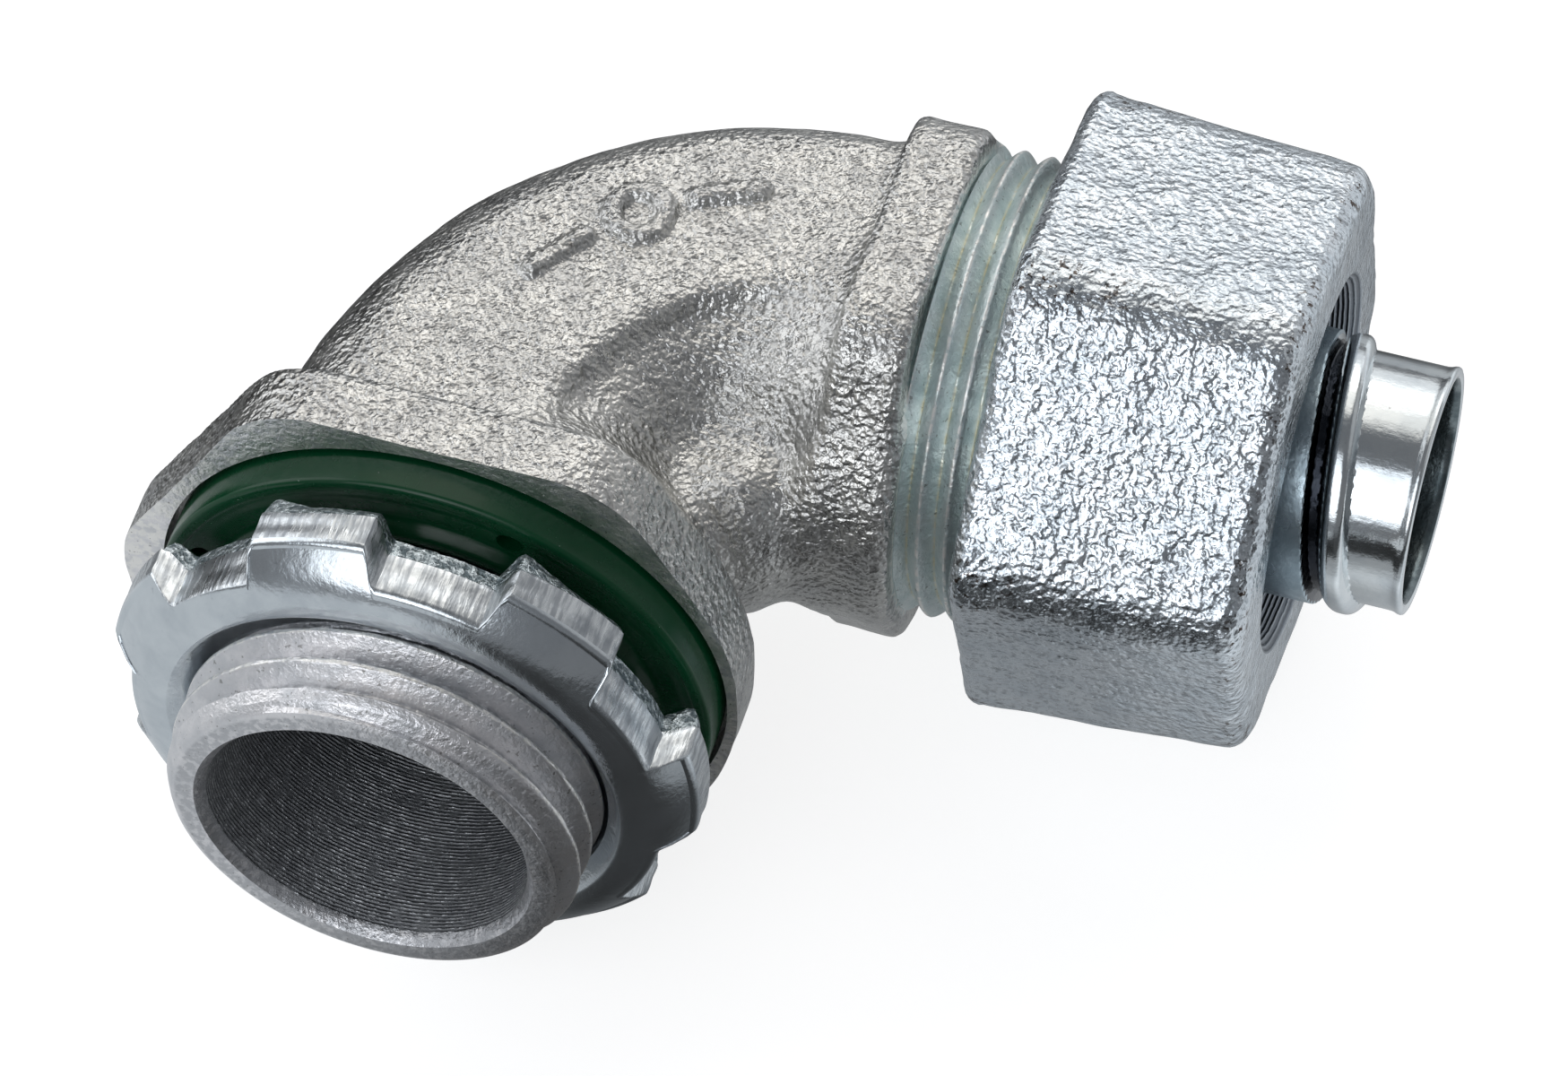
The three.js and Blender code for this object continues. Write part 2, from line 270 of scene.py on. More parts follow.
def slab(distance, offset, half, rounding):
    """A flat outline's distance made into a plate's, with rounded edges."""
    return rounded_corner(distance + rounding, np.abs(offset) - half + rounding, rounding)


# ---------- elbow body ----------
def bend_place(x, y):
    """Distance outward from the bore's axis, and how far round the bend (0 at the hub, 1 at the gland)."""
    across, up = BEND - x, y + BEND
    radius = np.hypot(np.maximum(across, 0), np.maximum(up, 0))
    outward = radius - BEND
    turned = np.arctan2(np.maximum(up, 0), np.maximum(across, 1e-6)) / (TURN / 4)
    return outward, turned


def bend_field(x, y, z):
    """Distance from the bend: a broad round back, flat cheeks, and a throat that flares into both collars."""
    outward, turned = bend_place(x, y)
    # the round back would stand a little proud of the flat cheeks, which cut it in a clear edge
    back = mix(11.35, 8.95, turned)
    rounding = mix(6.3, 4.4, turned)
    proud = mix(0.31, 0.46, turned)
    start = 4.4
    a = (outward - start) * rounding / (back - start)
    b = np.abs(z) - CHEEK - proud + rounding
    band = rounded_corner(a, b, rounding)
    band = soft_max(band, np.abs(z) - CHEEK, 0.35)
    band = soft_max(band, -2.95 - outward, 1.0)
    to_hub = smooth(-10.5, -19.5, y)
    to_gland = smooth(7.5, 17, x)
    flare = soft_max(2.5 * to_hub, 1.9 * to_gland, 0.8)
    throat = np.hypot(outward + 0.7 + flare, z) - 7.7 - flare
    return soft_min(band, throat, 0.7)


def web_field(x, y, z):
    """Distance from the web between the two collars, an ellipsoid in the throat."""
    radius, half_height = 3.3, 5.0
    across = ((x - 12.0) / radius) ** 2 + ((y + 12.3) / radius) ** 2
    return (np.sqrt(across + (z / half_height) ** 2) - 1) * radius


def cast_field(x, y, z):
    """Distance from the surface of the rough casting: the bend, its two collars and the web between them."""
    body = soft_min(bend_field(x, y, z), web_field(x, y, z), 2.6)
    beyond = np.maximum(x - (GLAND_END - 9), -y - 21)
    body = np.maximum(body, beyond)

    # the hub collar is a rounded hexagon, cut flat towards the nut and on the far side
    hub_outline = soft_max(hexagon_distance(x, z, 15.3, 5.2), x - 14.95, 2.0)
    hub_outline = soft_max(hub_outline, -16.7 - x, 1.0)
    hub_collar = slab(hub_outline, y + 21.6, 2.7, 0.8)
    # the gland collar sits a little low, and is cut flat on the throat's side
    gland_outline = hexagon_distance(y + 0.45, z + 0.3, 12.4, 4.2)
    gland_outline = soft_max(gland_outline, -12.9 - y, 1.0)
    gland_collar = slab(gland_outline, x - 17.3, 1.9, 0.5)
    body = soft_min(body, hub_collar, 0.9)
    fillet = mix(1.3, 2.4, smooth(CHEEK, 6.0, np.abs(z)))
    return soft_min(body, gland_collar, fillet)


def mark_field(x, y, z):
    """A raised foundry mark on the upper cheek: a ring between two short bars that follow the bend."""
    outward, turned = bend_place(x, y)
    along = (turned - 0.56) * (BEND + 3) * TURN / 4
    across = outward - 3.2
    ring = np.abs(np.hypot(along, across) - 1.35) - 0.42
    bars = np.hypot(np.maximum(np.abs(np.abs(along) - 4.6) - 1.6, 0), across) - 0.5
    return slab(np.minimum(ring, bars), z - CHEEK, 0.5, 0.2)


def cast_surface():
    """Points and quads of the casting's surface, from its field on a grid with this step."""
    step, band = 0.27, 3.0
    low = np.array([-17.6, -24.6, -16.2])
    high = np.array([19.8, 11.2, 16.2])
    counts = np.ceil((high - low) / step).astype(int)
    axes = [low[i] + step * np.arange(counts[i]) for i in range(3)]
    x, y, z = [a.astype(np.float32) for a in np.meshgrid(*axes, indexing="ij", copy=False)]
    field = cast_field(x, y, z)
    field = soft_min(field, mark_field(x, y, z), 0.3)
    grid = openvdb.FloatGrid(background=band)
    grid.copyFromArray(np.clip(field, -band, band).astype(np.float32))
    points, quads = grid.convertToQuads(isovalue=0.0)
    return low + step * np.asarray(points, float), np.asarray(quads)


def roughened(points, quads, layers):
    """Points moved along their normals by layers of noise, each given as wavelength and height."""
    a, b, c, d = [points[quads[:, i]] for i in range(4)]
    face_normals = np.cross(c - a, d - b)
    normals = np.zeros_like(points)
    for i in range(4):
        np.add.at(normals, quads[:, i], face_normals)
    normals /= np.linalg.norm(normals, axis=1, keepdims=True) + 1e-12
    volume = np.einsum("ij,ij->i", a, face_normals).sum()
    height = sum(size * noise(points, wavelength, 3.7 * k)
                 for k, (wavelength, size) in enumerate(layers))
    return points + normals * (height * np.sign(volume))[:, None]


def hub_spigot():
    """The threaded hub with its plain root inside the collar, as a solid bar."""
    segments, root_radius = 180, 9.25
    angles = angles_round(segments)
    thread_end = -25.0
    rows = [(9.55, HUB_MOUTH), (9.78, HUB_MOUTH + 0.12)]
    for along in np.linspace(HUB_MOUTH + 0.42, thread_end, 140):
        cut = thread(along, angles, HUB_CREST, HUB_DEPTH, HUB_PITCH, HUB_PHASE)
        lead_in = 9.75 + 0.55 * (along - HUB_MOUTH)
        rows.append((np.minimum(cut, lead_in), along))
    # a relief behind the thread, narrower than its roots
    rows += [(root_radius, thread_end + 0.5), (root_radius, RECESS_FLOOR + 2.5)]
    return solid_grid(rows_grid(rows, segments, around_hub), "hub_spigot")


def gland_spigot():
    """The fine-threaded gland end as a solid bar; its crests are rounded, its roots narrow."""
    segments, mouth_radius = 180, 11.0
    angles = angles_round(segments)
    rows = [(10.9, 16.5), (11.3, 19.1)]
    for along in np.linspace(19.35, GLAND_END - 0.25, 110):
        cut = GLAND_CREST - GLAND_DEPTH * from_crest(along, angles, GLAND_PITCH, GLAND_PHASE) ** 1.35
        lead_in = mouth_radius + 0.7 * (GLAND_END - along)
        rows.append((np.minimum(cut, lead_in), along))
    rows.append((mouth_radius, GLAND_END))
    return solid_grid(rows_grid(rows, segments, around_gland), "gland_spigot")


def around_bend(radius, angle, station):
    """Points round the bore at a station along its axis: 0 where the bend starts, on the hub's side."""
    quarter = BEND * TURN / 4
    bend = np.clip(station, 0, quarter) / BEND
    past = station - np.clip(station, 0, quarter)
    outward = BEND + radius * np.cos(angle)
    x = BEND - outward * np.cos(bend) + past * np.sin(bend)
    y = -BEND + outward * np.sin(bend) + past * np.cos(bend)
    return np.stack(np.broadcast_arrays(x, y, radius * np.sin(angle)), -1)


def bore_tool():
    """The space inside: a drilled bore in the hub, then the cast passage round the bend to the gland."""
    quarter = BEND * TURN / 4
    mouth = HUB_MOUTH + BEND
    gland_mouth = quarter + GLAND_END - BEND
    drilled = 8.15
    rows = [(9.3, mouth - 1), (8.75, mouth - 0.2), (drilled, mouth + 0.55), (drilled, -3.6), (7.2, -2.6)]
    rows.append((BORE_RADIUS, -1.6))
    rows += [(BORE_RADIUS, station) for station in np.linspace(0, quarter, 28)]
    rows += [(BORE_RADIUS, gland_mouth - 1.2), (8.2, gland_mouth + 0.4)]
    return solid_grid(rows_grid(rows, 120, around_bend), "bore_tool")


def cylinder_tool(radius, low, high, name):
    """A plain cylinder round the hub's axis, from low to high."""
    return solid_grid(rows_grid([(radius, low), (radius, high)], 160, around_hub), name)


def elbow_body():
    """The casting with its machined faces, recess, two threaded spigots and bore."""
    points, quads = cast_surface()
    points = roughened(points, quads, [(5.0, 0.10), (1.9, 0.05), (0.9, 0.028)])
    made = object_from("elbow_casting", points, [quads])
    before_face = COLLAR_FACE - 8
    combine(made, cylinder_tool(24, before_face, COLLAR_FACE, "face_tool"), "DIFFERENCE")
    combine(made, cylinder_tool(RECESS_RADIUS, before_face, RECESS_FLOOR, "recess_tool"), "DIFFERENCE")
    combine(made, hub_spigot(), "UNION")
    combine(made, gland_spigot(), "UNION")
    combine(made, bore_tool(), "DIFFERENCE")
    centres, normals = face_arrays(made)
    x, y, z = centres.T
    from_hub_axis, from_gland_axis = np.hypot(x, z), np.hypot(y, z)
    from_bore_axis = np.hypot(bend_place(x, y)[0], z)
    in_recess = from_hub_axis < RECESS_RADIUS + 0.1
    machined = (y < RECESS_FLOOR + 0.1) & (in_recess | (normals[:, 1] < -0.99))
    gland_thread = (x > 18.95) & (from_gland_axis < 12.2)
    bore = np.where(y < -16, from_hub_axis < 8.25, from_bore_axis < BORE_RADIUS + 0.2)
    index = np.zeros(len(x))
    index[machined] = 1
    index[gland_thread] = 2
    # the bore's material is painted dark as shade, with painted glints
    index[bore] = 3
    finish_mesh(made, "elbow_body", index, crease=42)
    return made


# ---------- panel side ----------
def gasket_profile():
    """Rows round the gasket's section: its rim, rounded nose, raised lip, dished face and inner lip."""
    rim, front, back = GASKET_RADIUS, GASKET_FRONT, GASKET_BACK
    hole, nose = 10.58, 0.28
    rows = [(rim - 0.15, back), (rim, back - 0.15)]
    rows += [(rim - nose * (1 - np.cos(a)), front + nose * (1 - np.sin(a)))
             for a in np.linspace(0, TURN / 4, 7)]
    rows += [(rim - 0.62 - 0.12 * np.sin(a), front + 0.12 * (1 - np.cos(a)))
             for a in np.linspace(0, 1.2, 4)]
    for t in np.linspace(0, 1, 24):
        dish = 0.10 + 0.10 * smooth(0, 0.3, t) - 0.7 * smooth(0.62, 0.95, t)
        rows.append((mix(rim - 0.8, 10.95, t), front + dish))
    return rows + [(10.7, front - 0.46), (hole, front - 0.3), (hole, back - 0.1), (10.7, back)]


def blind_hole(angle):
    """A tool for a small oval hole in the gasket's face, at this angle round the hub."""
    half_radial, half_round, depth = 0.62, 0.72, 2.5
    spin = angles_round(24)[:, None]
    centre = around_hub(12.5, angle, GASKET_FRONT - 1.0)
    radial = np.array([-np.cos(angle), 0, np.sin(angle)])
    tangent = np.array([np.sin(angle), 0, np.cos(angle)])
    outline = centre + half_radial * np.cos(spin) * radial + half_round * np.sin(spin) * tangent
    return solid_grid(np.stack([outline, outline + np.array([0, depth, 0])]), "hole_tool")


def panel_gasket():
    """A moulded ring with a raised lip, a dished face and four small blind holes."""
    points, quads = ring_grid(gasket_profile(), 256, around_hub)
    made = object_from("gasket_ring", points, [quads])
    for k in range(4):
        combine(made, blind_hole(np.radians(20.5 + 90 * k)), "DIFFERENCE")
    finish_mesh(made, "panel_gasket", crease=35)
    return made


def lug_shape(angle):
    """How far a point is on to a lug (0 in a notch, 1 on it), and its place across the lug from -1 to 1."""
    sector = TURN / LUGS
    centre = 0.425 * sector
    half_width, edge = np.radians(12.5), np.radians(1.6)
    across = np.mod(angle - centre + sector / 2, sector) - sector / 2
    place = across / half_width
    weight = smooth(-1 - edge * 5, -1 + edge * 2, place) * (1 - smooth(1 - edge * 3, 1 + edge * 7, place))
    return weight, np.clip(place, -1, 1)


def locknut_face(radius):
    """Where the locknut's front lies at a radius: a shallow cone that curls back towards the lugs."""
    cone = 0.10 * np.maximum(radius - 11.6, 0)
    curl = 0.225 * np.maximum(radius - 12.0, 0) ** 2.0
    return LOCKNUT_FRONT + 0.04 + cone + curl


def locknut():
    """A pressed ring with a conical front, a sheared outer edge and lugs bent back towards the gasket."""
    segments, rounding, torn_rows = 420, 0.34, 9
    angle = angles_round(segments)
    weight, place = lug_shape(angle)
    wave = 0.06 * np.sin(3 * angle + 1) + 0.05 * np.sin(5 * angle)
    rim = mix(13.55, LOCKNUT_RIM - 0.08, weight) + wave * 0.5
    tip = LOCKNUT_TIPS - 0.1 - 0.55 * smooth(-1, -0.1, place)
    back = mix(-26.6, tip, weight)
    rows = []
    for t in np.linspace(0, 1, 16):
        radius = mix(11.62, rim - rounding, t)
        rows.append((radius, locknut_face(radius)))
    shoulder = locknut_face(rim - rounding)
    rows += [(rim - rounding * (1 - np.sin(a)), shoulder + 0.4 * (1 - np.cos(a)))
             for a in np.linspace(0.15, TURN / 4, 6)]
    face_rows = len(rows)
    # the press cuts the plate cleanly at first, and tears it from cut_end back
    cut_end = mix(-27.6, -26.7, weight) + 0.12 * np.sin(9 * angle) * weight
    rows += [(rim + 0.02 * np.sin(t * 9), mix(shoulder + 0.4, cut_end, t))
             for t in np.linspace(0.12, 1, 8)]
    cut_rows = len(rows)
    for t in np.linspace(0.08, 1, torn_rows):
        torn = 0.10 + mix(0.15, 0.42, weight) * t ** 1.3
        rows.append((rim - torn, mix(cut_end + 0.03, back, t)))
    inner_back = mix(-26.55, -26.8, weight)
    for t in np.linspace(0.1, 1, 8):
        radius = mix(rim - 0.5, rim - mix(0.9, 1.9, weight), t)
        rows.append((radius, mix(back + 0.02, inner_back, smooth(0.45, 1.0, t))))
    rows += [(12.2, -27.1), (11.7, -27.15)]
    rows += [(thread(along, angle, HUB_CREST + 0.45, 0.95, HUB_PITCH, HUB_PHASE), along)
             for along in np.linspace(-27.25, LOCKNUT_FRONT + 0.55, 34)]
    rows += [(11.25, LOCKNUT_FRONT + 0.3), (11.52, LOCKNUT_FRONT + 0.06)]
    points, quads = ring_grid(rows, segments, around_hub)
    rough = roughened(points, quads, [(1.1, 0.05), (0.45, 0.04)])
    row = np.repeat(np.arange(len(rows)), segments)
    is_torn = (row >= cut_rows) & (row < cut_rows + torn_rows)
    points = points + (rough - points) * is_torn[:, None]
    made = object_from("locknut_ring", points, [quads])
    centres, normals = face_arrays(made)
    from_axis = np.hypot(centres[:, 0], centres[:, 2])
    # the steep sides of the lugs, which the press cut too
    side = (row < face_rows) & (np.abs(normals[:, 1]) < 0.4) & (from_axis > 13.3) & (from_axis < 14.6)
    index = np.zeros(len(row))
    index[(row >= face_rows - 1) & (row < cut_rows)] = 1
    index[is_torn] = 2
    index[side] = 1
    finish_mesh(made, "locknut", index, crease=32)
    return made


# ---------- gland side ----------
def nut_outline(angle, along, inset):
    """Radius of the drafted hexagon with rounded corners, drawn in by inset."""
    sector = TURN / 6
    from_flat = np.mod(angle - NUT_CORNER, sector) - sector / 2
    flat = NUT_FLAT - NUT_DRAFT * (along - NUT_START) - inset
    inner = flat - NUT_ROUNDING
    # the ray's meeting with the flat, or with the arc that rounds the corner
    on_flat = flat / np.cos(from_flat)
    reach = inner / np.cos(sector / 2)
    away = sector / 2 - np.abs(from_flat)
    to_arc = np.sqrt(np.maximum(NUT_ROUNDING ** 2 - (reach * np.sin(away)) ** 2, 0))
    on_arc = reach * np.cos(away) + to_arc
    past_flat = np.abs(on_flat * np.sin(from_flat)) > inner * np.tan(sector / 2)
    return np.where(past_flat, on_arc, on_flat)


def nut_rows(angle):
    """Rows round the nut's section, and how many of them are cast: back, sides and front, then the inside."""
    back_bevel, front_bevel, mouth = 1.1, 1.25, 9.2
    thread_end = 30.0

    def outline(along, inset):
        return nut_outline(angle, along, inset)

    rows = [(12.75, NUT_START + 0.02)]
    rows += [(mix(13.0, outline(NUT_START, back_bevel), t), NUT_START) for t in np.linspace(0, 1, 8)]
    rows += [(outline(NUT_START, back_bevel * (1 - np.sin(a))), NUT_START + 0.9 * (1 - np.cos(a)))
             for a in np.linspace(0.2, TURN / 4, 6)]
    rows += [(outline(along, 0), along) for along in np.linspace(NUT_START + 1.1, NUT_END - 1.25, 62)]
    rows += [(outline(NUT_END - 1.1, front_bevel * (1 - np.cos(a))), NUT_END - 1.1 * (1 - np.sin(a)))
             for a in np.linspace(0, TURN / 4, 8)]
    rows += [(mix(outline(NUT_END, front_bevel), 9.75, t), NUT_END) for t in np.linspace(0.12, 1, 12)]
    cast_rows = len(rows)
    rows += [(mix(9.62, mouth, t), NUT_END - mix(0.06, 0.5, t)) for t in np.linspace(0, 1, 4)]
    rows += [(mouth, along) for along in np.linspace(NUT_END - 0.9, NUT_END - 2.0, 4)]
    rows += [(11.4, NUT_END - 3.7), (11.4, thread_end)]
    rows += [(thread(along, angle, NUT_THREAD_CREST, GLAND_DEPTH, GLAND_PITCH, GLAND_PHASE), along)
             for along in np.linspace(thread_end - 0.2, NUT_START + 0.8, 60)]
    rows.append((12.5, NUT_START + 0.4))
    return rows, cast_rows


def gland_nut():
    """A cast hexagon with rounded, drafted sides, and machined threads and mouth."""
    segments = 480
    rows, cast_rows = nut_rows(angles_round(segments))
    points, quads = ring_grid(rows, segments, around_gland)
    rough = roughened(points, quads, [(3.4, 0.08), (1.3, 0.05), (0.8, 0.03)])
    is_cast = np.repeat(np.arange(len(rows)) < cast_rows, segments)
    from_mouth = smooth(9.9, 11.5, np.hypot(points[:, 1], points[:, 2]))
    points = points + (rough - points) * (is_cast * from_mouth)[:, None]
    made = object_from("nut_hexagon", points, [quads])
    # the mouth and thread get the plate painted dark as shade
    index = np.repeat(np.arange(len(rows)) >= cast_rows - 1, segments)
    finish_mesh(made, "gland_nut", index, crease=50)
    return made


def compression_ring():
    """The moulded ring inside the nut: a flat back, a rounded shoulder and a tapered nose."""
    low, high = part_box("compression_ring")
    back, front = (low.x - CROSSING[0]) / MM, (high.x - CROSSING[0]) / MM
    outer = (high.y - low.y) / 2 / MM
    inner, rounding = 9.1, 0.3
    rows = [(inner, back + 0.1), (9.2, back), (outer - rounding, back)]
    rows += [(outer - rounding * (1 - np.sin(a)), back + rounding * (1 - np.cos(a)))
             for a in np.linspace(0.3, TURN / 4, 4)]
    rows += [(outer, back + 1.8), (9.95, front - 0.35), (9.8, front - 0.1), (9.6, front), (9.15, front)]
    rows += [(inner, mix(front, back, t)) for t in (0.2, 0.4, 0.6, 0.8)]
    points, quads = ring_grid(rows, 144, around_gland)
    made = object_from("ring_moulding", points, [quads])
    finish_mesh(made, "compression_ring", crease=35)
    return made


def bead_centre(degrees):
    """Where the ferrule's bead runs: forward by its lead in one turn."""
    lead = 4.1
    return 39.15 + lead * (degrees - 55) / 360


def ferrule_rows(angle):
    """Rows round the ferrule's section: its flange, shank, beaded tube and rolled mouth, then the bore."""
    tube, bore, shank, flange, flange_back = 6.2, 5.65, 6.8, 10.2, FERRULE_SEAT + 1.0
    degrees = np.degrees(angle)
    bead = bead_centre(degrees)
    groove_start = mix(bead - 1.35, BEAD_START, smooth(235, 340, degrees))
    groove_start = np.maximum(groove_start, BEAD_START)
    bead_height = 0.85 * smooth(14, 48, degrees) * (1 - smooth(285, 335, degrees))
    rows = [(bore + 0.25, FERRULE_SEAT), (flange - 0.15, FERRULE_SEAT), (flange, FERRULE_SEAT + 0.15),
            (flange, FERRULE_SEAT + 0.85), (flange - 0.15, flange_back)]
    rows += [(shank + 0.5 * (1 - np.sin(a)), flange_back + 0.5 * (1 - np.cos(a)))
             for a in np.linspace(0, TURN / 4, 6)]
    rows += [(shank, along) for along in np.linspace(31, 37.6, 8)]
    for along in np.linspace(37.75, FERRULE_MOUTH - 1.0, 78):
        base = mix(shank, tube - 0.12, smooth(groove_start - 0.12, groove_start + 0.14, along))
        base = mix(base, tube, smooth(bead, bead + 0.6, along))
        away = np.abs(along - bead) / 0.78
        rows.append((base + bead_height * np.sqrt(np.clip(1 - away ** 2, 0, 1)), along))
    rolled_mouth = [(tube, 0.8), (tube + 0.01, 0.6), (tube + 0.04, 0.45), (tube + 0.10, 0.3),
                    (tube + 0.12, 0.17), (tube + 0.08, 0.06), (tube - 0.04, 0.0), (bore + 0.3, 0.0),
                    (bore + 0.12, 0.05), (bore + 0.02, 0.2), (bore, 0.5)]
    rows += [(radius, FERRULE_MOUTH - inside) for radius, inside in rolled_mouth]
    return rows + [(bore, along) for along in np.linspace(FERRULE_MOUTH - 1.5, FERRULE_SEAT + 0.6, 20)]


def ferrule():
    """A drawn tube with a rolled bead that climbs round it like one turn of a coarse thread."""
    segments = 256
    points, quads = ring_grid(ferrule_rows(angles_round(segments)), segments, around_gland)
    made = object_from("ferrule_tube", points, [quads])
    centres, normals = face_arrays(made)
    x, y, z = centres.T
    from_axis = np.hypot(y, z)
    turn = np.mod(np.degrees(np.arctan2(z, y)), 360)
    past_bead = x - bead_centre(turn)
    # painted shade: the groove behind the bead gets a near-black plate
    groove = (past_bead < -0.62) & (from_axis < 6.7) & (from_axis > 5.9) & (x > BEAD_START)
    groove &= (turn > 14) & (turn < 290)
    shank_face = (from_axis >= 6.7) & (x < 40) & (past_bead < -0.9)
    # painted shade: the tube's inside gets a dark plate
    inside = (normals[:, 1] * y + normals[:, 2] * z < -0.5 * from_axis) & (from_axis < 6)
    index = np.zeros(len(centres))
    index[groove] = 1
    index[inside] = 2
    index[shank_face] = 3
    finish_mesh(made, "ferrule", index, crease=45)
    return made


# ---------- materials ----------
class Look:
    """A node material being put together. Textures are laid out in millimetres."""

    def __init__(self, name):
        self.material = bpy.data.materials.new(name)
        self.material.use_nodes = True
        self.tree = self.material.node_tree
        self.shader = self.tree.nodes["Principled BSDF"]
        self.place = self.scaled((1, 1, 1))

    def add(self, kind, settings=(), **inputs):
        node = self.tree.nodes.new(kind)
        for key, value in dict(settings).items():
            setattr(node, key, value)
        for key, value in inputs.items():
            self.feed(node.inputs[key.replace("_", " ")], value)
        return node

    def feed(self, socket, value):
        if isinstance(value, bpy.types.NodeSocket):
            self.tree.links.new(value, socket)
        else:
            socket.default_value = value

    def feed_color(self, socket, color):
        self.feed(socket, color if isinstance(color, bpy.types.NodeSocket) else (*color, 1))

    def scaled(self, scale):
        """Object coordinates in millimetres, stretched by scale."""
        where = self.tree.nodes.new("ShaderNodeTexCoord").outputs["Object"]
        scale = tuple(s / MM for s in scale)
        return self.add("ShaderNodeMapping", Vector=where, Scale=scale).outputs["Vector"]

    def noise(self, wavelength, detail=3.0, roughness=0.55, distortion=0.0, stretch=None):
        where = self.place if stretch is None else self.scaled(stretch)
        return self.add("ShaderNodeTexNoise", Vector=where, Scale=1 / wavelength, Detail=detail,
                        Roughness=roughness, Distortion=distortion).outputs["Fac"]

    def ramp(self, value, low, high, start=0.0, end=1.0):
        """start where value is at low, end where it is at high, and a smooth step between."""
        return self.add("ShaderNodeMapRange", {"interpolation_type": "SMOOTHSTEP"}, Value=value,
                        From_Min=low, From_Max=high, To_Min=start, To_Max=end).outputs["Result"]

    def math(self, operation, a, b):
        node = self.tree.nodes.new("ShaderNodeMath")
        node.operation = operation
        self.feed(node.inputs[0], a)
        self.feed(node.inputs[1], b)
        return node.outputs[0]

    def times(self, a, b):
        return self.math("MULTIPLY", a, b)

    def plus(self, a, b):
        return self.math("ADD", a, b)

    def blend(self, factor, a, b):
        node = self.tree.nodes.new("ShaderNodeMix")
        node.data_type = "RGBA"
        self.feed(node.inputs["Factor"], factor)
        for key, value in (("A", a), ("B", b)):
            socket = next(s for s in node.inputs if s.name == key and s.type == "RGBA")
            self.feed_color(socket, value)
        return next(s for s in node.outputs if s.type == "RGBA")

    def bump(self, height, distance):
        """Tilts the shader's normal by a height from 0 to 1 times distance, in millimetres."""
        node = self.add("ShaderNodeBump", Height=height, Distance=distance * MM, Strength=1.0)
        before = self.shader.inputs["Normal"]
        if before.is_linked:
            self.tree.links.new(before.links[0].from_socket, node.inputs["Normal"])
        self.tree.links.new(node.outputs["Normal"], before)

    def vector_math(self, operation, *values):
        node = self.add("ShaderNodeVectorMath", {"operation": operation})
        for socket, value in zip(node.inputs, values):
            self.feed(socket, value)
        return node.outputs

    def radius_from(self, axis):
        """Distance in millimetres from the line through the crossing along an axis (0 for X, 1 for Y)."""
        keep = tuple(0 if i == axis else 1 / MM for i in range(3))
        where = self.tree.nodes.new("ShaderNodeTexCoord").outputs["Object"]
        moved = self.vector_math("ADD", where, tuple(-CROSSING))
        flat = self.vector_math("MULTIPLY", moved["Vector"], keep)
        return self.vector_math("LENGTH", flat["Vector"])["Value"]

    def finish(self, color, roughness, metallic=1.0, **more):
        """Feeds the shader, and returns the material."""
        self.feed_color(self.shader.inputs["Base Color"], color)
        self.feed(self.shader.inputs["Roughness"], roughness)
        self.feed(self.shader.inputs["Metallic"], metallic)
        for key, value in more.items():
            self.feed(self.shader.inputs[key.replace("_", " ")], value)
        return self.material


def edge_soot(look, color, worn_from):
    """Soot and rust left along the nut's corners, beyond a radius, and round the edge of its mouth."""
    radius = look.radius_from(0)
    end = look.add("ShaderNodeSeparateXYZ", Vector=look.place).outputs["X"]
    nut_front = nut_box[1].x / MM
    at_mouth = look.times(look.ramp(end, nut_front - 1.6, nut_front - 0.5),
                          look.ramp(radius, worn_from - 2.2, worn_from - 1.2))
    edge = look.math("MAXIMUM", look.ramp(radius, worn_from, worn_from + 0.7), at_mouth)
    grains = look.ramp(look.noise(0.42, 3, 0.65), 0.57, 0.63)
    return look.blend(look.times(look.times(grains, edge), 0.95), color, (0.07, 0.045, 0.03))


def cast_zinc(name, light, dark, speck, grain, gloss, relief, worn_from=None):
    """Zinc plate on a sand-cast skin: grainy, faintly mottled and specked with rust and soot."""
    look = Look(name)
    mottle = look.noise(2.6, 5, 0.62)
    fine = look.noise(grain, 1.5, 0.45)
    pits = look.noise(grain * 0.45, 2, 0.5)
    color = look.blend(look.ramp(mottle, 0.35, 0.68), light, dark)
    color = look.blend(look.ramp(fine, 0.46, 0.30, 0.0, 0.5), color, tuple(c * 0.5 for c in dark))
    spots = look.times(look.ramp(look.noise(1.5, 4, 0.7), 0.62, 0.70), look.ramp(pits, 0.45, 0.6))
    color = look.blend(look.times(spots, speck), color, (0.10, 0.075, 0.055))
    if worn_from:
        color = edge_soot(look, color, worn_from)
    look.bump(fine, 0.40 * relief)
    look.bump(pits, 0.045 * relief)
    return look.finish(color, look.ramp(look.noise(1.1, 4, 0.6), 0.3, 0.7, gloss - 0.06, gloss + 0.08))


